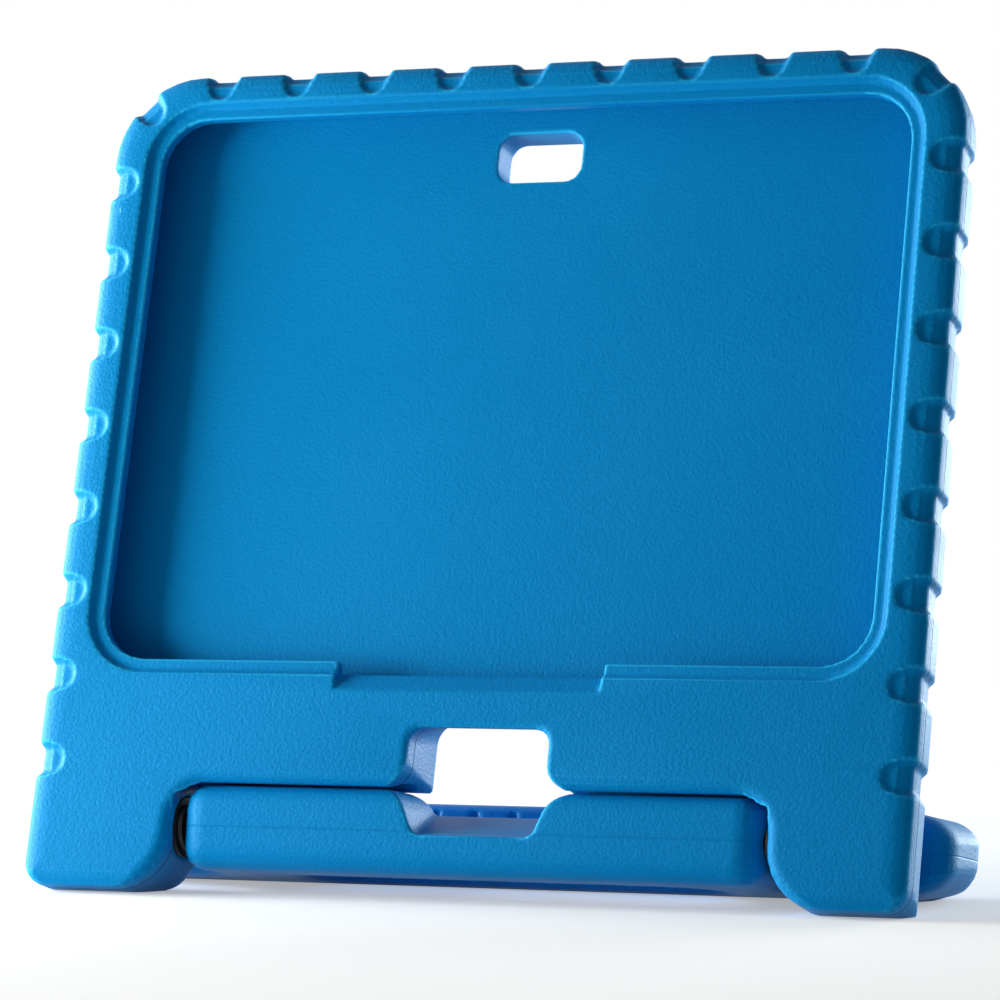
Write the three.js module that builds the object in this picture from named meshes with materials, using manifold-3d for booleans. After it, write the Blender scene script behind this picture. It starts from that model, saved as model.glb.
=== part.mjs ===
// Kids' tablet case in firm closed-cell foam: a thick moulded body that grips the tablet, and a
// moulded handle that swings on two pegs between the legs and doubles as the stand.
// Millimetres, +Z up. The case stands on its two legs and on the outer bar of the handle.
import * as THREE from 'three';
import { mergeVertices } from 'three/addons/utils/BufferGeometryUtils.js';
import Module from 'manifold-3d';

const wasm = await Module();
wasm.setup();

// Driving dimensions
const leanAngle = THREE.MathUtils.degToRad(15.36); // the body leans back from upright
const handleTilt = THREE.MathUtils.degToRad(8); // the handle slopes down to its outer bar
const runningGap = 0.4; // between pieces that turn past each other
const seatGap = 0.3; // between pieces that are pushed together

// The tablet that the pocket is made for
const tabletWidth = 243.4;
const tabletHeight = 176.4;
const tabletThickness = 8;
const tabletCornerRadius = 9;
const pocketPlay = 0.5;

// The body
const bodyThickness = 25;
const sideWall = 9.1;
const topWall = 7.1;
const glassDepth = 6; // from the front face down to the tablet's glass
const topCornerRadius = 26;
const footCornerRadius = 7;
const edgeRound = 3.5; // every edge of the moulding
const partingDepth = 6; // from the front face down to the widest outline
const rimRoundWidth = 7; // the rim of the front face is crowned
const rimRoundDepth = 3;
const backRoundWidth = 8.5; // the back draws in by a long quarter ellipse
const backRoundDepth = 18;
const lipOverlap = 6.2; // how far the lip holds over the tablet's face
const windowCornerRadius = 14;
const lipWidth = 3.2; // the low ledge around the window
const stepDrop = 2;
const stepRun = 1.4;
const buttonGapHalfWidth = 40;
const buttonGapDrop = 3.5;
const buttonGapSlope = 5.4;
const buttonGapDepth = 4.2;

// The recess between the legs, and the slot above it
const apronHeight = 29.2; // from the pocket down to the recess
const recessRise = 11; // front edge of the recess ceiling above the pivot
const legDrop = 19.7; // leg ends below the pivot
const lowerOffset = 2.5; // the recess and the handle sit this far to the right
const legWidth = 42.7; // each leg, before the recess is moved over
const recessCornerRadius = 11;
const legInnerRadius = 17;
const slotOffset = 5.4; // the slot and the finger notch sit this far to the right
const slotHalfWidth = 20.8;
const slotRise = 16.8;
const slotBackRise = 6.2; // the ceiling of the slot climbs by this much to the back
const slotBackSpread = 1;
const slotCornerRadius = 4;
const slotBackCornerRadius = 6;
const slotEdgeRound = 1.5;
const slotFlareRadius = 8;
const ceilingLip = 2; // the front strip of the ceiling that stays whole
const portHalfWidth = 8;
const portCornerRadius = 2;
const cameraHalfWidth = 13;
const cameraHalfHeight = 7.5;
const cameraCornerRadius = 5;
const cameraBelowTop = 17; // from the tablet's top edge
const floorDrop = 18.4; // the floor below the pivot

// The notches round the edge
const notchWidth = 9.4;
const sideNotchReach = 9.8; // from the widest outline in to the rounded end
const topNotchReach = 8.5;
const notchDepth = 1.3;
const notchSlope = 1.3; // the walls of a notch lean out by this much
const notchFacets = 14;
const sideNotchPitch = 24.96;
const sideNotchCount = 8;
const topNotchPitch = 24.5;
const topNotchCount = 9;
const firstSideNotch = 33.4; // first side notch below the top edge

// The handle
const handleThickness = 24;
const barFront = 10.5; // pivot to the front of the pivot bar
const barBack = 13.5;
const barCornerRadius = 7.5;
const wingOverhang = 1.1; // the wings reach this far past the body's sides
const endPlay = 1.9; // each end of the pivot bar to its leg
const wingFront = 23; // pivot to the front of the wings
const outerBarInner = 41;
const outerBarOuter = 65.5;
const wingCornerRadius = 18;
const wingFrontRadius = 7.5;
const shoulderRadius = 12;
const gripHalfWidth = 58;
const gripFlare = 6;
const gripCornerRadius = 10;
const handleRoundWidth = 6;
const handleRoundDepth = 6.5;
const thumbHalfWidth = 23;
const thumbFloorHalfWidth = 17.4;
const thumbFlare = 9;
const thumbFloorRadius = 4;
const thumbDepthBack = 5.6;
const thumbDepthFront = 13;
const grooveWidth = 3.2;
const grooveDepth = 0.8;
const groovePitch = 12;
const grooveCount = 10;
const grooveTop = 2.1; // below the handle's top face
const grooveEndFlat = 0.0016; // a groove's ends are round but for this

// The pivot pegs and their bushes
const pegRadius = 4;
const pegInHandle = 22;
const pegInBush = 11;
const pegChamfer = 0.8;
const barbHeight = 0.7;
const barbPitch = 4;
const barbCount = 4;
const barbFall = 0.2; // how far the steep side of a barb leans
const collarRadius = 7;
const bushWall = 1.8;
const bushEnd = 1.6;
const flangeRadius = 8.5;
const flangeThickness = 1.2;
const roundFacets = 28;
const rimSegments = 4;
const slotEdgeSteps = 2;
const flareFacets = 7;
const chordError = 0.12; // how far an arc's facets stand off the arc

// Short steps that keep faces from meeting edge on
const pastFace = 1; // a cutter runs this far past the face that it opens
const pastEdge = 0.01;
const pastFlare = 0.02;

// Worked out from the dimensions above
const half = bodyThickness / 2;
const pocketHalfWidth = tabletWidth / 2 + pocketPlay;
const pocketHalfHeight = tabletHeight / 2 + pocketPlay;
const bodyHalfWidth = pocketHalfWidth + sideWall;
const recessHalfWidth = bodyHalfWidth - legWidth;
const wingHalfWidth = bodyHalfWidth + wingOverhang;
const windowMiddle = recessRise + apronHeight + pocketHalfHeight;
const bodyTop = windowMiddle + pocketHalfHeight + topWall;
const pocketFront = half - glassDepth + seatGap;
const pocketBack = half - glassDepth - tabletThickness - pocketPlay;
const windowHalfWidth = tabletWidth / 2 - lipOverlap;
const windowHalfHeight = tabletHeight / 2 - lipOverlap;
const slotTop = recessRise + slotRise;
const barHalfWidth = recessHalfWidth - endPlay;
const handleHalf = handleThickness / 2;
const barCornerSide = barFront - handleRoundWidth;
const barCornerRise = handleHalf - handleRoundDepth;
const barSwing = Math.hypot(barCornerSide, barCornerRise) + Math.max(handleRoundWidth, handleRoundDepth);
const swingHollow = barSwing + runningGap;
const bushRadius = pegRadius + runningGap + bushWall;
const bushLength = pegInBush + runningGap + bushEnd;
const bodyTurn = Math.PI / 2 - leanAngle;
const overshoot = 40; // cutters run this far past what they cut

// An outline from corners [x, y, radius]: every corner is rounded by an arc tangent to its sides.
function roundedOutline(corners) {
  const points = [];
  corners.forEach(([x, y, radius], i) => {
    const before = corners[(i + corners.length - 1) % corners.length];
    const after = corners[(i + 1) % corners.length];
    const corner = new THREE.Vector2(x, y);
    const back = new THREE.Vector2(before[0], before[1]).sub(corner).normalize();
    const ahead = new THREE.Vector2(after[0], after[1]).sub(corner).normalize();
    if (!radius) {
      points.push(corner);
      return;
    }
    const halfAngle = Math.acos(THREE.MathUtils.clamp(back.dot(ahead), -1, 1)) / 2;
    const tangent = radius / Math.tan(halfAngle);
    const start = corner.clone().addScaledVector(back, tangent);
    const middle = back.clone().add(ahead).normalize();
    const centre = middle.multiplyScalar(radius / Math.sin(halfAngle)).add(corner);
    const sweep = (Math.PI - 2 * halfAngle) * Math.sign(ahead.cross(back));
    const facet = 2 * Math.acos(1 - Math.min(chordError / radius, 0.5));
    const steps = Math.max(2, Math.ceil(Math.abs(sweep) / facet));
    for (let k = 0; k <= steps; k++) {
      points.push(start.clone().rotateAround(centre, (sweep * k) / steps));
    }
  });
  return points;
}

function rectangle(halfWidth, low, high, radius, middle = 0) {
  return roundedOutline([
    [middle - halfWidth, low, radius],
    [middle + halfWidth, low, radius],
    [middle + halfWidth, high, radius],
    [middle - halfWidth, high, radius],
  ]);
}

// A slab about z = 0 whose edges are rounded by a quarter ellipse, shrunk all over by inset.
function roundedSlab(outline, thickness, roundWidth, roundDepth, inset = 0, holes = [], segments = 4) {
  const shape = new THREE.Shape(outline);
  holes.forEach((hole) => shape.holes.push(new THREE.Path(hole)));
  const depth = thickness - 2 * roundDepth - 2 * inset;
  const geometry = new THREE.ExtrudeGeometry(shape, {
    depth,
    bevelEnabled: true,
    bevelSize: roundWidth,
    bevelThickness: roundDepth,
    bevelOffset: -roundWidth - inset,
    bevelSegments: segments,
    curveSegments: 1,
  });
  return geometry.translate(0, 0, -depth / 2);
}

// A straight prism of an outline from z = low to z = high.
function prism(outline, low, high) {
  const geometry = new THREE.ExtrudeGeometry(new THREE.Shape(outline), {
    depth: high - low,
    bevelEnabled: false,
    curveSegments: 1,
  });
  return geometry.translate(0, 0, low);
}

// A prism whose outline is given in (y, z) and which runs along x from low to high.
function prismAlongX(outline, low, high) {
  return prism(outline, low, high).rotateX(Math.PI / 2).rotateZ(Math.PI / 2);
}

// A prism whose outline is given in (x, z) and which runs along y from low to high.
function prismAlongY(outline, low, high) {
  return prism(outline, -high, -low).rotateX(Math.PI / 2);
}

// A body of revolution about the x axis from a closed profile of [x, radius].
function turned(profile) {
  const points = profile.map(([x, radius]) => new THREE.Vector2(radius, x));
  return new THREE.LatheGeometry(points, roundFacets).rotateZ(-Math.PI / 2);
}

function solid(geometry) {
  const bare = geometry.clone();
  bare.deleteAttribute('normal');
  bare.deleteAttribute('uv');
  const merged = mergeVertices(bare, 1e-4);
  const index = merged.index.array;
  const triangles = [];
  for (let i = 0; i < index.length; i += 3) {
    const [a, b, c] = [index[i], index[i + 1], index[i + 2]];
    if (a !== b && b !== c && c !== a) triangles.push(a, b, c);
  }
  const mesh = new wasm.Mesh({
    numProp: 3,
    vertProperties: new Float32Array(merged.attributes.position.array),
    triVerts: new Uint32Array(triangles),
  });
  return new wasm.Manifold(mesh);
}

function cut(target, geometries) {
  return geometries.reduce((left, geometry) => left.subtract(solid(geometry)), target);
}

function toGeometry(manifold) {
  const mesh = manifold.getMesh();
  const geometry = new THREE.BufferGeometry();
  geometry.setAttribute('position', new THREE.BufferAttribute(new Float32Array(mesh.vertProperties), 3));
  geometry.setIndex(new THREE.BufferAttribute(new Uint32Array(mesh.triVerts), 1));
  geometry.computeVertexNormals();
  return geometry;
}

const foam = new THREE.MeshStandardMaterial({ color: 0x0a80c8, roughness: 0.55, metalness: 0 });
const blackPlastic = new THREE.MeshStandardMaterial({ color: 0x121315, roughness: 0.45, metalness: 0 });

function piece(name, geometry, material) {
  const mesh = new THREE.Mesh(geometry, material);
  mesh.name = name;
  return mesh;
}

// The body's outline: outer rectangle, legs and recess.
function bodyOutline() {
  const left = lowerOffset - recessHalfWidth;
  const right = lowerOffset + recessHalfWidth;
  return roundedOutline([
    [-bodyHalfWidth, -legDrop, footCornerRadius],
    [left, -legDrop, legInnerRadius],
    [left, recessRise, recessCornerRadius],
    [right, recessRise, recessCornerRadius],
    [right, -legDrop, legInnerRadius],
    [bodyHalfWidth, -legDrop, footCornerRadius],
    [bodyHalfWidth, bodyTop, topCornerRadius],
    [-bodyHalfWidth, bodyTop, topCornerRadius],
  ]);
}

function envelopeOutline() {
  return roundedOutline([
    [-bodyHalfWidth, -legDrop, 0],
    [bodyHalfWidth, -legDrop, 0],
    [bodyHalfWidth, bodyTop, topCornerRadius],
    [-bodyHalfWidth, bodyTop, topCornerRadius],
  ]);
}

// Half of the body's cross-section near its rim, shrunk by inset: x outwards from the widest
// outline, y towards the front face.
function rimSection(inset) {
  const points = [[-overshoot, half - inset]];
  for (let k = 0; k <= rimSegments; k++) {
    const angle = (k * Math.PI) / 2 / rimSegments;
    points.push([
      -inset - rimRoundWidth * (1 - Math.sin(angle)),
      half - inset - rimRoundDepth * (1 - Math.cos(angle)),
    ]);
  }
  for (let k = 0; k <= rimSegments; k++) {
    const angle = (k * Math.PI) / 2 / rimSegments;
    points.push([
      -inset - backRoundWidth * (1 - Math.cos(angle)),
      -half + inset + backRoundDepth * (1 - Math.sin(angle)),
    ]);
  }
  points.push([-overshoot, inset - half]);
  return points.map(([x, y]) => new THREE.Vector2(x, y));
}

// The cutter of one notch: a shallow channel with sloping walls that runs round the rim from a
// rounded end on the front face to a rounded end on the back. It lies along +x from the rim.
function notchCutter(reach) {
  const endRadius = notchWidth / 2;
  const floorRadius = endRadius - notchSlope;
  const rise = notchDepth + runningGap;
  const spread = (rise * notchSlope) / notchDepth;
  const shape = new THREE.Shape(rectangle(overshoot, -overshoot, overshoot, 0, pastFace - overshoot / 2));
  shape.holes.push(new THREE.Path(rimSection(notchDepth)));
  const channel = new THREE.ExtrudeGeometry(shape, {
    depth: 2 * floorRadius,
    bevelEnabled: true,
    bevelSize: rise,
    bevelThickness: spread,
    bevelOffset: -rise,
    bevelSegments: 1,
    curveSegments: 1,
  });
  channel.translate(0, 0, -floorRadius).rotateX(Math.PI / 2);
  const endMiddle = endRadius - reach;
  const rounded = new THREE.CylinderGeometry(floorRadius + spread, floorRadius, rise, notchFacets);
  rounded.rotateX(Math.PI / 2).translate(endMiddle, 0, half - notchDepth + rise / 2);
  const front = solid(rounded);
  const back = solid(rounded.clone().rotateX(Math.PI));
  return solid(channel).trimByPlane([1, 0, 0], endMiddle).add(front).add(back);
}

// Every notch in place: down both sides, along the top and across the two top corners.
function edgeNotches() {
  const places = [];
  for (let k = 0; k < sideNotchCount; k++) {
    const y = bodyTop - firstSideNotch - k * sideNotchPitch;
    places.push([bodyHalfWidth, y, 0, sideNotchReach], [-bodyHalfWidth, y, 180, sideNotchReach]);
  }
  for (let k = 0; k < topNotchCount; k++) {
    places.push([(k - (topNotchCount - 1) / 2) * topNotchPitch, bodyTop, 90, topNotchReach]);
  }
  const cornerIn = topCornerRadius * (1 - Math.SQRT1_2);
  places.push([bodyHalfWidth - cornerIn, bodyTop - cornerIn, 45, sideNotchReach]);
  places.push([cornerIn - bodyHalfWidth, bodyTop - cornerIn, 135, sideNotchReach]);
  const cutters = places.map(([x, y, turn, reach]) =>
    notchCutter(reach).rotate([0, 0, turn]).translate([x, y, 0]));
  return cutters.reduce((all, cutter) => all.add(cutter));
}

// The pocket, the window over it, the low lip round the window and the gap for the home button.
function tabletCutters() {
  const low = windowMiddle - pocketHalfHeight;
  const high = windowMiddle + pocketHalfHeight;
  const pocket = prism(rectangle(pocketHalfWidth, low, high, tabletCornerRadius), pocketBack, pocketFront);
  const opening = rectangle(
    windowHalfWidth, windowMiddle - windowHalfHeight, windowMiddle + windowHalfHeight, windowCornerRadius);
  const window = prism(opening, pocketBack + pastFace, half + pastFace);
  const stepOut = lipWidth + stepRun;
  const stepOutline = rectangle(
    windowHalfWidth + stepOut,
    windowMiddle - windowHalfHeight - stepOut,
    windowMiddle + windowHalfHeight + stepOut,
    windowCornerRadius + stepOut,
  );
  const step = roundedSlab(stepOutline, 4 * stepDrop, stepRun, stepDrop, 0, [], 1);
  step.translate(0, 0, half + stepDrop);
  const lipEdge = windowMiddle - windowHalfHeight;
  const slope = roundedOutline([
    [lipEdge + pastFace, pocketFront - pastFace, 0],
    [lipEdge - buttonGapDrop, pocketFront - pastFace, 0],
    [lipEdge - buttonGapDrop, half - buttonGapDepth, 0],
    [lipEdge - buttonGapDrop - buttonGapSlope, half + pastEdge, 0],
    [lipEdge + pastFace, half + pastEdge, 0],
  ]);
  const buttonGap = prismAlongX(slope, -buttonGapHalfWidth, buttonGapHalfWidth);
  return [pocket, window, step, buttonGap];
}

// The recess ceiling follows the handle at rest and is hollowed for the swing of the pivot bar.
function ceilingCutters() {
  const left = lowerOffset - recessHalfWidth;
  const right = lowerOffset + recessHalfWidth;
  const swing = new THREE.CylinderGeometry(swingHollow, swingHollow, 2 * recessHalfWidth, 2 * roundFacets);
  swing.rotateZ(Math.PI / 2).translate(lowerOffset, 0, 0);
  const slope = leanAngle - handleTilt;
  const rise = (z) => (handleHalf + runningGap - z * Math.sin(slope)) / Math.cos(slope);
  const front = half - ceilingLip;
  const back = -half - pastFace;
  const rest = prismAlongX(
    [
      new THREE.Vector2(0, back),
      new THREE.Vector2(rise(back), back),
      new THREE.Vector2(rise(front), front),
      new THREE.Vector2(0, front),
    ],
    left,
    right,
  );
  return [swing, rest];
}

// The slot: its edges are rounded, and its ceiling climbs to the back.
function slotCutter() {
  const front = (grow) =>
    rectangle(slotHalfWidth + grow, 0, slotTop + grow, slotCornerRadius + grow, slotOffset);
  const back = (grow) =>
    rectangle(
      slotHalfWidth + slotBackSpread + grow,
      0,
      slotTop + slotBackRise + grow,
      slotBackCornerRadius + grow,
      slotOffset,
    );
  const rings = [];
  const addRing = (outline, z, grow) => rings.push(outline(grow).map((point) => [point.x, point.y, z]));
  addRing(front, half + pastFace, slotEdgeRound);
  for (let k = 0; k <= slotEdgeSteps; k++) {
    const angle = (k * Math.PI) / 2 / slotEdgeSteps;
    addRing(front, half - slotEdgeRound * (1 - Math.cos(angle)), slotEdgeRound * (1 - Math.sin(angle)));
  }
  for (let k = slotEdgeSteps; k >= 0; k--) {
    const angle = (k * Math.PI) / 2 / slotEdgeSteps;
    addRing(back, slotEdgeRound * (1 - Math.cos(angle)) - half, slotEdgeRound * (1 - Math.sin(angle)));
  }
  addRing(back, -half - pastFace, slotEdgeRound);
  const parts = rings.slice(1).map((ring, i) => wasm.Manifold.hull([...rings[i], ...ring]));
  return parts.reduce((all, part) => all.add(part));
}

// The rounded corner between a wall of the slot and the recess; side is 1 at the right, -1 at the left.
function slotFlare(side) {
  const wall = slotOffset + side * slotHalfWidth;
  const outline = [
    new THREE.Vector2(wall - side * pastFace, recessRise + slotFlareRadius),
    new THREE.Vector2(wall - side * pastFace, 0),
    new THREE.Vector2(wall + side * slotFlareRadius, 0),
  ];
  for (let k = 0; k <= flareFacets; k++) {
    const angle = (k * Math.PI) / 2 / flareFacets;
    outline.push(new THREE.Vector2(
      wall + side * slotFlareRadius * (1 - Math.sin(angle)),
      recessRise + slotFlareRadius * (1 - Math.cos(angle)),
    ));
  }
  return prism(outline, -half - pastFace, half + pastFace);
}

// The way for a charging plug from the slot into the pocket, and the rear camera's window.
function pocketOpenings() {
  const pocketLow = windowMiddle - pocketHalfHeight;
  const port = prismAlongY(
    rectangle(portHalfWidth, pocketBack, pocketFront, portCornerRadius),
    slotTop - pastFace,
    pocketLow + pastFace,
  );
  const cameraMiddle = windowMiddle + tabletHeight / 2 - cameraBelowTop;
  const cameraLow = cameraMiddle - cameraHalfHeight;
  const cameraHigh = cameraMiddle + cameraHalfHeight;
  const camera = prism(
    rectangle(cameraHalfWidth, cameraLow, cameraHigh, cameraCornerRadius),
    -half - pastFace,
    pocketBack + pastFace,
  );
  return [port, camera];
}

// The blind hole for a bush in the inner face of a leg; side is 1 for the right leg, -1 for the left.
function bushHole(side) {
  const face = side * lowerOffset + recessHalfWidth;
  const hole = turned([
    [face - pastFace, 0],
    [face - pastFace, flangeRadius + seatGap],
    [face + flangeThickness + seatGap, flangeRadius + seatGap],
    [face + flangeThickness + seatGap, bushRadius + seatGap],
    [face + bushLength + seatGap, bushRadius + seatGap],
    [face + bushLength + seatGap, 0],
  ]);
  return side > 0 ? hole : hole.rotateY(Math.PI);
}

// Everything below the floor, in the frame of a group that is turned by the given angle about x.
function belowFloor(turn) {
  const block = new THREE.BoxGeometry(4 * bodyHalfWidth, 4 * outerBarOuter, overshoot);
  return block.translate(0, 0, -floorDrop - overshoot / 2).rotateX(-turn);
}

function caseBody() {
  const full = solid(roundedSlab(bodyOutline(), bodyThickness, edgeRound, edgeRound));
  const behindLine = bodyThickness - partingDepth;
  const crowned = roundedSlab(envelopeOutline(), bodyThickness, rimRoundWidth, rimRoundDepth);
  const drawnIn = roundedSlab(
    envelopeOutline(), 2 * behindLine, backRoundWidth, backRoundDepth, 0, [], rimSegments);
  drawnIn.translate(0, 0, half - partingDepth);
  const rim = solid(crowned).intersect(solid(drawnIn));
  const moulded = full.intersect(rim).subtract(edgeNotches());
  const slotted = cut(moulded.subtract(slotCutter()), [slotFlare(1), slotFlare(-1)]);
  const hollowed = cut(slotted, [...tabletCutters(), ...ceilingCutters(), ...pocketOpenings()]);
  const fitted = cut(hollowed, [bushHole(1), bushHole(-1), belowFloor(bodyTurn)]);
  return piece('case_body', toGeometry(fitted), foam);
}

// The handle's outline, seen from above: pivot bar, shoulders, wings and outer bar.
function handleOutline() {
  const left = lowerOffset - barHalfWidth;
  const right = lowerOffset + barHalfWidth;
  return roundedOutline([
    [left, -barFront, barCornerRadius],
    [right, -barFront, barCornerRadius],
    [right, wingFront, shoulderRadius],
    [wingHalfWidth, wingFront, wingFrontRadius],
    [wingHalfWidth, outerBarOuter, wingCornerRadius],
    [-wingHalfWidth, outerBarOuter, wingCornerRadius],
    [-wingHalfWidth, wingFront, wingFrontRadius],
    [left, wingFront, shoulderRadius],
  ]);
}

function gripOutline() {
  return roundedOutline([
    [lowerOffset - gripHalfWidth, barBack, gripCornerRadius],
    [lowerOffset + gripHalfWidth, barBack, gripCornerRadius],
    [lowerOffset + gripHalfWidth + gripFlare, outerBarInner, gripCornerRadius],
    [lowerOffset - gripHalfWidth - gripFlare, outerBarInner, gripCornerRadius],
  ]);
}

// The finger notch across the top of the pivot bar: flared edges and a floor that slopes to the front.
function fingerNotch() {
  const top = handleHalf + pastFlare;
  const low = handleHalf - thumbDepthFront;
  const shoulder = thumbHalfWidth + 2 * thumbFlare;
  const profile = roundedOutline([
    [slotOffset - shoulder, top + overshoot, 0],
    [slotOffset - shoulder, top, 0],
    [slotOffset - thumbHalfWidth, top, thumbFlare],
    [slotOffset - thumbFloorHalfWidth, low, thumbFloorRadius],
    [slotOffset + thumbFloorHalfWidth, low, thumbFloorRadius],
    [slotOffset + thumbHalfWidth, top, thumbFlare],
    [slotOffset + shoulder, top, 0],
    [slotOffset + shoulder, top + overshoot, 0],
  ]);
  const along = prismAlongY(profile, -barFront - pastFace, barBack + pastFace);
  const fall = (thumbDepthFront - thumbDepthBack) / (barFront + barBack);
  const floor = (s) => handleHalf - thumbDepthBack + (s - barBack) * fall;
  const front = -barFront - 2 * pastFace;
  const back = barBack + 2 * pastFace;
  const above = prismAlongX(
    [
      new THREE.Vector2(front, floor(front)),
      new THREE.Vector2(back, floor(back)),
      new THREE.Vector2(back, 2 * overshoot),
      new THREE.Vector2(front, 2 * overshoot),
    ],
    slotOffset - shoulder - pastFace,
    slotOffset + shoulder + pastFace,
  );
  return solid(along).intersect(solid(above));
}

// Shallow finger grooves down the inner wall of the outer bar.
function gripGrooves() {
  const core = roundedSlab(
    handleOutline(), handleThickness, handleRoundWidth, handleRoundDepth, grooveDepth, [gripOutline()]);
  const reach = handleHalf - grooveTop;
  const slots = [];
  for (let k = 0; k < grooveCount; k++) {
    const x = lowerOffset + (k - (grooveCount - 1) / 2) * groovePitch;
    const outline = rectangle(grooveWidth / 2, -reach, reach, grooveWidth / 2 - grooveEndFlat, x);
    slots.push(solid(prismAlongY(outline, outerBarInner - grooveWidth, outerBarInner + handleRoundWidth)));
  }
  return slots.reduce((all, slot) => all.add(slot)).subtract(solid(core));
}

// The hole for a peg in an end of the pivot bar.
function pegHole(side) {
  const end = side * lowerOffset + barHalfWidth;
  const radius = pegRadius + barbHeight + seatGap;
  const hole = turned([
    [end - pegInHandle - seatGap, 0],
    [end - pegInHandle - seatGap, radius],
    [end + pastFace, radius],
    [end + pastFace, 0],
  ]);
  return side > 0 ? hole : hole.rotateY(Math.PI);
}

function handle() {
  const moulded = solid(
    roundedSlab(handleOutline(), handleThickness, handleRoundWidth, handleRoundDepth, 0, [gripOutline()]));
  const gripped = moulded.subtract(fingerNotch()).subtract(gripGrooves());
  const fitted = cut(gripped, [pegHole(1), pegHole(-1), belowFloor(-handleTilt)]);
  return piece('handle', toGeometry(fitted), foam);
}

// A barbed peg: barbs in the handle, a collar in the gap and a plain journal in the bush.
function pivotPeg(side) {
  const end = side * lowerOffset + barHalfWidth;
  const face = side * lowerOffset + recessHalfWidth;
  const profile = [[end - pegInHandle, 0], [end - pegInHandle, pegRadius - barbHeight]];
  for (let k = 0; k < barbCount; k++) {
    const start = end - pegInHandle + (k + 0.5) * barbPitch;
    profile.push([start, pegRadius - barbHeight / 2], [start + barbPitch / 2, pegRadius + barbHeight]);
    profile.push([start + barbPitch / 2 + barbFall, pegRadius - barbHeight / 2]);
  }
  profile.push(
    [end + seatGap, pegRadius - barbHeight / 2],
    [end + seatGap, collarRadius],
    [face - runningGap, collarRadius],
    [face - runningGap, pegRadius],
    [face + pegInBush - pegChamfer, pegRadius],
    [face + pegInBush, pegRadius - pegChamfer],
    [face + pegInBush, 0],
  );
  const peg = turned(profile);
  return side > 0 ? peg : peg.rotateY(Math.PI);
}

// A flanged bush, closed at its outer end, flush with the inner face of the leg.
function pivotBush(side) {
  const face = side * lowerOffset + recessHalfWidth;
  const bore = pegRadius + runningGap;
  const bush = turned([
    [face, bore],
    [face, flangeRadius],
    [face + flangeThickness, flangeRadius],
    [face + flangeThickness, bushRadius],
    [face + bushLength, bushRadius],
    [face + bushLength, 0],
    [face + bushLength - bushEnd, 0],
    [face + bushLength - bushEnd, bore],
    [face, bore],
  ]);
  return side > 0 ? bush : bush.rotateY(Math.PI);
}

const bodyGroup = new THREE.Group();
bodyGroup.rotation.x = bodyTurn;
bodyGroup.add(caseBody());

const handleGroup = new THREE.Group();
handleGroup.rotation.x = -handleTilt;
handleGroup.add(handle());

for (const [side, word] of [[-1, 'left'], [1, 'right']]) {
  bodyGroup.add(piece(`pivot_bush_${word}`, toGeometry(solid(pivotBush(side))), blackPlastic));
  handleGroup.add(piece(`pivot_peg_${word}`, toGeometry(solid(pivotPeg(side))), blackPlastic));
}

// The origin is on the floor under the middle of the case.
const tabletCase = new THREE.Group();
tabletCase.add(bodyGroup, handleGroup);
const extent = new THREE.Box3().setFromObject(tabletCase, true);
tabletCase.position.set(0, -(extent.min.y + extent.max.y) / 2, floorDrop);

export default tabletCase;
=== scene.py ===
import math

import bpy
import numpy as np
from mathutils import Matrix, Vector


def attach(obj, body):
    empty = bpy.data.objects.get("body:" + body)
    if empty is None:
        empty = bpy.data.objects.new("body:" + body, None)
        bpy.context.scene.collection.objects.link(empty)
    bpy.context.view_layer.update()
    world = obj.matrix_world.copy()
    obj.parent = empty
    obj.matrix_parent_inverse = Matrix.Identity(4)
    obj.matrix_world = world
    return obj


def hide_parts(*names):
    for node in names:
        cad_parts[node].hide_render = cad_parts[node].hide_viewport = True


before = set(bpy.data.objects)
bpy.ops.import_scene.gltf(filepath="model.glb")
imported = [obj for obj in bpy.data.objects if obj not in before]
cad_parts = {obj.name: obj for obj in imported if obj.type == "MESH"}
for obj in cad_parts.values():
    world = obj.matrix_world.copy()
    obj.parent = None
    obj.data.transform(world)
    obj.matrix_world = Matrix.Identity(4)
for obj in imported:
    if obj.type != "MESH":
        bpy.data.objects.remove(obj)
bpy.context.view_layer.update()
print("stage: frame loaded")

mm = 0.001

# The camera stands to the right of the case and a little below its middle.
cameraSet = {
    "place": (0.463083, -1.135305, 0.100813),
    "turn": (90.5018, 0.0007, 22.2308),
    "lens": 156.05,
    "sensor": 36.0,
    "clip": (0.05, 50.0),
}


def makeCamera(settings):
    data = bpy.data.cameras.new("view_camera")
    data.lens = settings["lens"]
    data.sensor_width = settings["sensor"]
    data.sensor_fit = "HORIZONTAL"
    data.clip_start, data.clip_end = settings["clip"]
    camera = bpy.data.objects.new("view_camera", data)
    camera.location = settings["place"]
    camera.rotation_euler = [math.radians(v) for v in settings["turn"]]
    bpy.context.scene.collection.objects.link(camera)
    bpy.context.scene.camera = camera


makeCamera(cameraSet)
print("stage: camera")

view = bpy.context.scene.view_settings
view.view_transform = "Standard"


def newMaterial(name):
    material = bpy.data.materials.new(name)
    material.use_nodes = True
    tree = material.node_tree
    return material, tree, tree.nodes["Principled BSDF"]


def link(tree, a, b):
    tree.links.new(a, b)


def mathNode(tree, operation, value=None):
    node = tree.nodes.new("ShaderNodeMath")
    node.operation = operation
    if value is not None:
        node.inputs[1].default_value = value
    return node


def mixColour(tree, factor, over):
    node = tree.nodes.new("ShaderNodeMix")
    node.data_type = "RGBA"
    node.inputs["B"].default_value = (*over, 1.0)
    link(tree, factor, node.inputs["Factor"])
    return node


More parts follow.
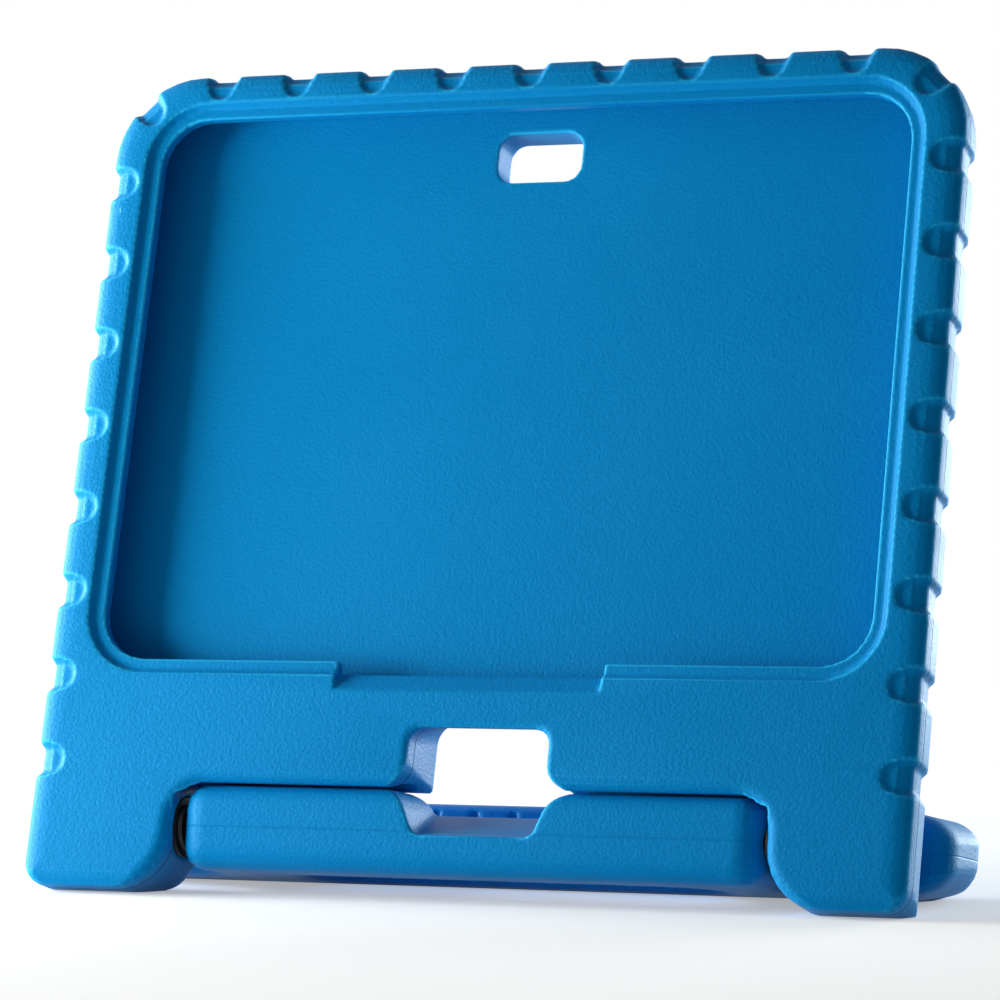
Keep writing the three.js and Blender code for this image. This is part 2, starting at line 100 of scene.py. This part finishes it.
def mapRange(tree, value, fromPair, toPair, kind):
    node = tree.nodes.new("ShaderNodeMapRange")
    node.interpolation_type = kind
    node.inputs["From Min"].default_value = fromPair[0]
    node.inputs["From Max"].default_value = fromPair[1]
    node.inputs["To Min"].default_value = toPair[0]
    node.inputs["To Max"].default_value = toPair[1]
    link(tree, value, node.inputs["Value"])
    return node.outputs["Result"]


def addNoise(tree, place, scale, detail):
    node = tree.nodes.new("ShaderNodeTexNoise")
    node.inputs["Scale"].default_value = scale
    node.inputs["Detail"].default_value = detail
    link(tree, place, node.inputs["Vector"])
    return node.outputs["Fac"]


def addBump(tree, height, strength, distance, sunken=False, under=None):
    node = tree.nodes.new("ShaderNodeBump")
    node.invert = sunken
    node.inputs["Strength"].default_value = strength
    node.inputs["Distance"].default_value = distance
    link(tree, height, node.inputs["Height"])
    if under is not None:
        link(tree, under, node.inputs["Normal"])
    return node.outputs["Normal"]


def planeDistance(tree, place, way, level):
    along = tree.nodes.new("ShaderNodeVectorMath")
    along.operation = "DOT_PRODUCT"
    along.inputs[1].default_value = way
    link(tree, place, along.inputs[0])
    gap = mathNode(tree, "SUBTRACT", level)
    link(tree, along.outputs["Value"], gap.inputs[0])
    size = mathNode(tree, "ABSOLUTE")
    link(tree, gap.outputs[0], size.inputs[0])
    return size.outputs[0]


foamSet = {
    "base": (0.001, 0.225, 0.575),
    "light": (0.001, 0.252, 0.615),
    # painted highlight: paler blue laid on convex edges and notch rims in place of the light they
    # catch
    "edge": (0.02, 0.47, 0.9),
    # painted shade: dark blue laid along the parting line in place of the shade inside its groove
    "groove": (0.0, 0.05, 0.16),
    "cloudScale": 18.0,
    "cloudDetail": 4.0,
    "cloudSpan": (0.3, 0.7),
    "roughness": 0.52,
    "roughSpread": 0.06,
    "pebbleScale": 1050.0,
    "pebbleStrength": 0.6,
    "pebbleDepth": 0.13 * mm,
    "grainScale": 3200.0,
    "grainDetail": 2.0,
    "grainStrength": 0.5,
    "grainDepth": 0.06 * mm,
    "grooveHalf": 0.35 * mm,
    "grooveStrength": 1.0,
    "grooveDepth": 0.6 * mm,
    "specular": 0.35,
    "tint": (0.0, 0.32, 0.9),
}


def makeFoam(name, settings, seam):
    material, tree, shader = newMaterial(name)
    place = tree.nodes.new("ShaderNodeTexCoord").outputs["Object"]
    cloud = addNoise(tree, place, settings["cloudScale"], settings["cloudDetail"])
    blend = mixColour(tree, cloud, settings["light"])
    blend.inputs["A"].default_value = (*settings["base"], 1.0)

    # Painted highlight: the colour turns paler where the skin bends sharply outwards, along edges
    # and notch rims, in place of the light they catch.
    highlight_mask = tree.nodes.new("ShaderNodeAttribute")
    highlight_mask.attribute_name = "edge"
    painted_highlight = mixColour(tree, highlight_mask.outputs["Fac"], settings["edge"])
    link(tree, blend.outputs["Result"], painted_highlight.inputs["A"])

    # Painted shade: a thin dark line along the parting plane in place of the shade inside the
    # seam groove; the same mask also sinks the groove by bump.
    away = planeDistance(tree, place, seam["way"], seam["level"])
    near = mapRange(tree, away, (0.0, settings["grooveHalf"]), (seam["shade"], 0.0), "SMOOTHSTEP")
    seam_shaded = mixColour(tree, near, settings["groove"])
    link(tree, painted_highlight.outputs["Result"], seam_shaded.inputs["A"])
    link(tree, seam_shaded.outputs["Result"], shader.inputs["Base Color"])

    pebble = tree.nodes.new("ShaderNodeTexVoronoi")
    pebble.inputs["Scale"].default_value = settings["pebbleScale"]
    link(tree, place, pebble.inputs["Vector"])
    grain = addNoise(tree, place, settings["grainScale"], settings["grainDetail"])
    normal = addBump(
        tree, near, settings["grooveStrength"], settings["grooveDepth"], sunken=True)
    normal = addBump(
        tree, pebble.outputs["Distance"], settings["pebbleStrength"], settings["pebbleDepth"],
        sunken=True, under=normal)
    normal = addBump(
        tree, grain, settings["grainStrength"], settings["grainDepth"], under=normal)
    link(tree, normal, shader.inputs["Normal"])

    least = settings["roughness"] - settings["roughSpread"]
    most = settings["roughness"] + settings["roughSpread"]
    rough = mapRange(tree, cloud, settings["cloudSpan"], (least, most), "LINEAR")
    link(tree, rough, shader.inputs["Roughness"])
    shader.inputs["Specular IOR Level"].default_value = settings["specular"]
    shader.inputs["Specular Tint"].default_value = (*settings["tint"], 1.0)
    return material


leanAngle = math.radians(15.36)
handleTilt = math.radians(8.0)
pivotY = -26.70716 * mm
pivotZ = 18.4 * mm
seamAhead = 6.5 * mm  # from the pivot line forward to the body's parting plane


def pivotLevel(way):
    return way[1] * pivotY + way[2] * pivotZ


bodyWay = (0.0, -math.cos(leanAngle), math.sin(leanAngle))
bodySeam = {"way": bodyWay, "level": pivotLevel(bodyWay) + seamAhead, "shade": 1.0}
handleWay = (0.0, math.sin(handleTilt), math.cos(handleTilt))
handleSeam = {"way": handleWay, "level": pivotLevel(handleWay), "shade": 0.15}
bodyFoam = makeFoam("foam_blue", foamSet, bodySeam)
handleFoam = makeFoam("foam_blue_handle", foamSet, handleSeam)

blackSet = {
    "base": (0.012, 0.012, 0.013),
    "roughness": 0.5,
    "grainScale": 1500.0,
    "grainDetail": 2.0,
    "grainStrength": 0.2,
    "grainDepth": 0.05 * mm,
}


def makeBlack(name, settings):
    material, tree, shader = newMaterial(name)
    place = tree.nodes.new("ShaderNodeTexCoord").outputs["Object"]
    grain = addNoise(tree, place, settings["grainScale"], settings["grainDetail"])
    normal = addBump(tree, grain, settings["grainStrength"], settings["grainDepth"])
    link(tree, normal, shader.inputs["Normal"])
    shader.inputs["Base Color"].default_value = (*settings["base"], 1.0)
    shader.inputs["Roughness"].default_value = settings["roughness"]
    return material


black = makeBlack("black_plastic", blackSet)
print("stage: materials")


def dress(node, material):
    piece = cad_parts[node]
    for slotOf in piece.material_slots:
        slotOf.link = "OBJECT"
        slotOf.material = material


for node in ("pivot_peg_left", "pivot_peg_right", "pivot_bush_left", "pivot_bush_right"):
    dress(node, black)


def applyModifier(piece, kind, name, **values):
    modifier = piece.modifiers.new(name, kind)
    for key, value in values.items():
        setattr(modifier, key, value)
    bpy.ops.object.modifier_apply(modifier=name)


def turnMesh(piece, angle):
    piece.rotation_euler = (angle, 0.0, 0.0)
    bpy.ops.object.transform_apply(location=False, rotation=True, scale=False)


def readRows(mesh, field):
    rows = np.empty(len(mesh.vertices) * 3)
    mesh.vertices.foreach_get(field, rows)
    return rows.reshape(-1, 3)


# A bend is one over its radius in metres.
edgeSet = {
    "flatBelow": 150.0,
    "sharpAbove": 460.0,
    "neighbourShare": 0.5,
    "leastReach": 1e-12,  # square metres, so that no edge divides by nothing
}


def mark_highlight_edges(piece, settings):
    # How sharply the skin bends outwards at each point, from 0 on the flat to 1 on an outward
    # corner; the foam paints a highlight in proportion to this value.
    mesh = piece.data
    count = len(mesh.vertices)
    points = readRows(mesh, "co")
    normals = readRows(mesh, "normal")
    pairs = np.empty(len(mesh.edges) * 2, dtype=np.int32)
    mesh.edges.foreach_get("vertices", pairs)
    first, second = pairs.reshape(-1, 2).T
    step = points[second] - points[first]
    reach = (step * step).sum(axis=1) + settings["leastReach"]
    bendFirst = -2.0 * (normals[first] * step).sum(axis=1) / reach
    bendSecond = 2.0 * (normals[second] * step).sum(axis=1) / reach
    near = np.bincount(first, minlength=count) + np.bincount(second, minlength=count)
    near = np.maximum(near, 1)
    bend = np.bincount(first, weights=bendFirst, minlength=count)
    bend += np.bincount(second, weights=bendSecond, minlength=count)
    bend /= near
    around = np.bincount(first, weights=bend[second], minlength=count)
    around += np.bincount(second, weights=bend[first], minlength=count)
    share = settings["neighbourShare"]
    bend = (1.0 - share) * bend + share * around / near
    span = settings["sharpAbove"] - settings["flatBelow"]
    value = np.clip((bend - settings["flatBelow"]) / span, 0.0, 1.0)
    attribute = mesh.attributes.new("edge", "FLOAT", "POINT")
    attribute.data.foreach_set("value", value)
    print("stage: edges marked on", piece.name, round(float(value.mean()), 4))


def taperEnds(piece, settings):
    # The ends of the wings thin out to a blunt nose, about the handle's own middle plane.
    mesh = piece.data
    points = readRows(mesh, "co")
    across = np.abs(points[:, 0])
    length = settings["endLength"]
    part = np.clip((across - across.max() + length) / length, 0.0, 1.0)
    points[:, 2] += (settings["middle"] - points[:, 2]) * settings["endTaper"] * part ** 2
    mesh.vertices.foreach_set("co", points.ravel())
    mesh.update()


weldGap = 0.001 * mm
softenBy = 0.5


def softCopy(node, settings, material):
    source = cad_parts[node]
    piece = source.copy()
    piece.data = source.data.copy()
    piece.name = settings["name"]
    piece.parent = None
    piece.matrix_world = Matrix.Identity(4)
    bpy.context.scene.collection.objects.link(piece)
    bpy.ops.object.select_all(action="DESELECT")
    piece.select_set(True)
    bpy.context.view_layer.objects.active = piece
    bpy.ops.object.mode_set(mode="EDIT")
    bpy.ops.mesh.select_all(action="SELECT")
    bpy.ops.mesh.remove_doubles(threshold=weldGap)
    bpy.ops.object.mode_set(mode="OBJECT")
    turnMesh(piece, settings["turn"])
    voxel = settings["voxel"]
    applyModifier(piece, "REMESH", "skin", mode="VOXEL", voxel_size=voxel, adaptivity=0.0)
    applyModifier(piece, "SMOOTH", "soften", factor=softenBy, iterations=settings["rounds"])
    applyModifier(piece, "DECIMATE", "thin", ratio=settings["keep"])
    if "endTaper" in settings:
        taperEnds(piece, settings)
    turnMesh(piece, -settings["turn"])
    mark_highlight_edges(piece, edgeSet)
    bpy.ops.object.shade_smooth()
    piece.data.materials.clear()
    piece.data.materials.append(material)
    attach(piece, settings["body"])
    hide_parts(node)
    print("stage:", settings["name"], len(piece.data.polygons), "faces")


bodySet = {
    "name": "foam_body",
    "body": "body",
    "slot": "body_foam",
    "turn": leanAngle,
    "voxel": 0.6 * mm,
    "rounds": 2,
    "keep": 0.13,
}
softCopy("case_body", bodySet, bodyFoam)

# The pivot line, seen in the frame in which the handle lies level.
pivotLine = Matrix.Rotation(handleTilt, 3, "X") @ Vector((0.0, pivotY, pivotZ))
handleSet = {
    "name": "foam_handle",
    "body": "handle",
    "slot": "handle_foam",
    "turn": handleTilt,
    "voxel": 0.7 * mm,
    "rounds": 3,
    "keep": 0.32,
    "endTaper": 0.42,
    "endLength": 17.0 * mm,
    "middle": pivotLine[2],
}
softCopy("handle", handleSet, handleFoam)
print("stage: foam pieces")


def seenByEye(tree):
    # 1 for what the eye, a mirror or glass sees of the floor and the sky.
    path = tree.nodes.new("ShaderNodeLightPath")
    near = mathNode(tree, "MAXIMUM")
    link(tree, path.outputs["Is Camera Ray"], near.inputs[0])
    link(tree, path.outputs["Is Glossy Ray"], near.inputs[1])
    seen = mathNode(tree, "MAXIMUM")
    link(tree, near.outputs[0], seen.inputs[0])
    link(tree, path.outputs["Is Transmission Ray"], seen.inputs[1])
    return seen.outputs[0]


floorSet = {
    "half": 4.0,
    "colour": (0.86, 0.86, 0.86),
    "roughness": 0.9,
    "specular": 0.1,
    "lift": 0.38,
    "plainTo": 0.3,  # the floor is plain out to here and fades to white beyond
    "whiteFrom": 0.75,
}


def makeFloor(settings):
    bpy.ops.mesh.primitive_plane_add(size=2.0 * settings["half"], location=(0.0, 0.0, 0.0))
    floor = bpy.context.object
    floor.name = "floor"
    material, tree, shader = newMaterial("floor_white")
    nodes = tree.nodes
    shader.inputs["Base Color"].default_value = (*settings["colour"], 1.0)
    shader.inputs["Roughness"].default_value = settings["roughness"]
    shader.inputs["Specular IOR Level"].default_value = settings["specular"]
    seen = seenByEye(tree)
    lift = mathNode(tree, "MULTIPLY", settings["lift"])
    link(tree, seen, lift.inputs[0])
    shader.inputs["Emission Color"].default_value = (1.0, 1.0, 1.0, 1.0)
    link(tree, lift.outputs[0], shader.inputs["Emission Strength"])
    place = nodes.new("ShaderNodeTexCoord")
    reach = nodes.new("ShaderNodeVectorMath")
    reach.operation = "LENGTH"
    link(tree, place.outputs["Object"], reach.inputs[0])
    fadeSpan = (settings["plainTo"], settings["whiteFrom"])
    fade = mapRange(tree, reach.outputs["Value"], fadeSpan, (0.0, 1.0), "SMOOTHSTEP")
    part = mathNode(tree, "MULTIPLY")
    link(tree, fade, part.inputs[0])
    link(tree, seen, part.inputs[1])
    white = nodes.new("ShaderNodeEmission")
    mix = nodes.new("ShaderNodeMixShader")
    link(tree, part.outputs[0], mix.inputs[0])
    link(tree, shader.outputs[0], mix.inputs[1])
    link(tree, white.outputs[0], mix.inputs[2])
    link(tree, mix.outputs[0], nodes["Material Output"].inputs["Surface"])
    floor.data.materials.append(material)


makeFloor(floorSet)

worldSet = {"level": 0.12, "colour": (0.88, 0.93, 1.0)}


def makeWorld(settings):
    world = bpy.data.worlds.new("studio")
    bpy.context.scene.world = world
    world.use_nodes = True
    tree = world.node_tree
    nodes = tree.nodes
    nodes.clear()
    out = nodes.new("ShaderNodeOutputWorld")
    mix = nodes.new("ShaderNodeMixShader")
    soft = nodes.new("ShaderNodeBackground")
    soft.inputs["Color"].default_value = (*settings["colour"], 1.0)
    soft.inputs["Strength"].default_value = settings["level"]
    white = nodes.new("ShaderNodeBackground")
    white.inputs["Color"].default_value = (1.0, 1.0, 1.0, 1.0)
    white.inputs["Strength"].default_value = 1.0
    link(tree, seenByEye(tree), mix.inputs[0])
    link(tree, soft.outputs[0], mix.inputs[1])
    link(tree, white.outputs[0], mix.inputs[2])
    link(tree, mix.outputs[0], out.inputs["Surface"])


makeWorld(worldSet)

lampSets = [
    {
        "name": "key",
        "place": (-0.6, -0.3, 0.12),
        "aim": (-0.05, 0.0, 0.07),
        "wide": 0.34,
        "high": 0.22,
        "power": 5.2,
        "colour": (1.0, 1.0, 0.9),
    },
    {
        "name": "left_sheen",
        "place": (-1.3, 0.02, 0.38),
        "aim": (-0.05, 0.0, 0.12),
        "wide": 0.6,
        "high": 0.6,
        "power": 21.0,
        "colour": (1.0, 1.0, 0.96),
    },
    {
        "name": "back_right",
        "place": (0.62, 1.17, 0.2),
        "aim": (0.1, 0.0, 0.12),
        "wide": 0.9,
        "high": 0.4,
        "power": 15.5,
        "colour": (0.92, 1.0, 0.97),
    },
]


def makeLamp(settings):
    data = bpy.data.lights.new(settings["name"], "AREA")
    data.shape = "RECTANGLE"
    data.size = settings["wide"]
    data.size_y = settings["high"]
    data.energy = settings["power"]
    data.color = settings["colour"]
    lamp = bpy.data.objects.new(settings["name"], data)
    lamp.location = settings["place"]
    way = Vector(settings["aim"]) - Vector(settings["place"])
    lamp.rotation_euler = way.to_track_quat("-Z", "Y").to_euler()
    lamp.visible_camera = False
    bpy.context.scene.collection.objects.link(lamp)


for lampSet in lampSets:
    makeLamp(lampSet)
print("stage: floor and light")
